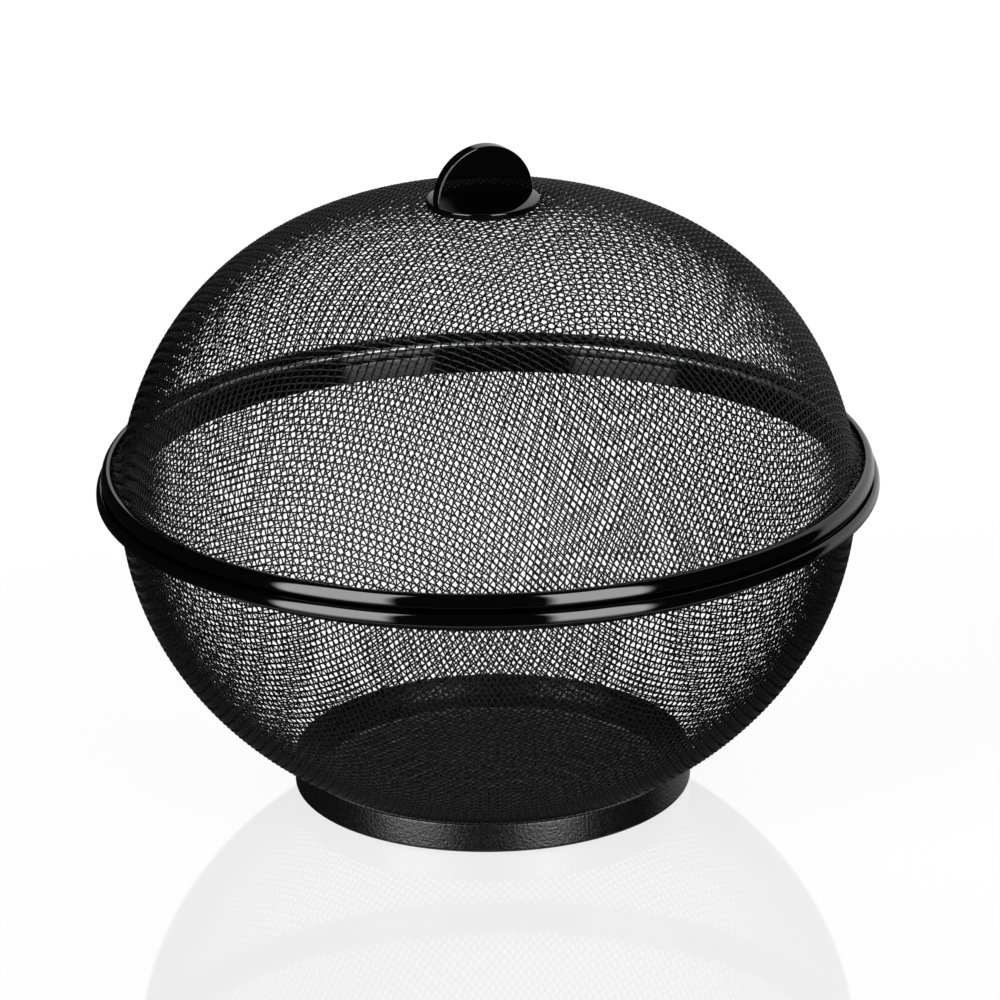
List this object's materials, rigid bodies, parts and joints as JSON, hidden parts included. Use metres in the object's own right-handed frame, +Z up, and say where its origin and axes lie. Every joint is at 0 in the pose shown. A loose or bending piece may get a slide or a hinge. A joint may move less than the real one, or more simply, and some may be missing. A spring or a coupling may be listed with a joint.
{
  "type": "wire mesh fruit basket with lid",
  "caption": "Round woven-wire fruit basket on a short foot ring, with rolled rims and a lift-off mesh dome lid carrying a half-disc knob.",
  "frame": {"origin": "middle of the foot ring's flat resting face, on the surface the basket stands on", "axes": "+Z up through the knob, +X along the knob's half-disc grip"},
  "size_m": [0.2814, 0.2814, 0.2411],
  "materials": {
    "foot_paint": "satin black paint with a fine wrinkle",
    "mesh_wire": "black coated woven steel wire",
    "rim_enamel": "glossy black enamel on rolled steel strip",
    "edge_wire": "plain drawn steel wire, hidden in the rims",
    "knob_plastic": "high-gloss black moulded plastic",
    "fixing_steel": "zinc plated steel"
  },
  "bodies": {
    "bowl": {"foot_ring": "foot_paint", "bowl_mesh": "mesh_wire", "bowl_rim": "rim_enamel", "bowl_rim_wire": "edge_wire"},
    "lid": {"lid_mesh": "mesh_wire", "lid_seat_ring": "rim_enamel", "lid_rim": "rim_enamel", "lid_rim_wire": "edge_wire", "knob": "knob_plastic", "knob_washer": "fixing_steel", "knob_screw": "fixing_steel"}
  },
  "joints": [
    {"name": "lid_lift", "type": "slide", "parent": "bowl", "child": "lid", "axis": [0, 0, 1], "range_m": [0, 0.2]}
  ]
}
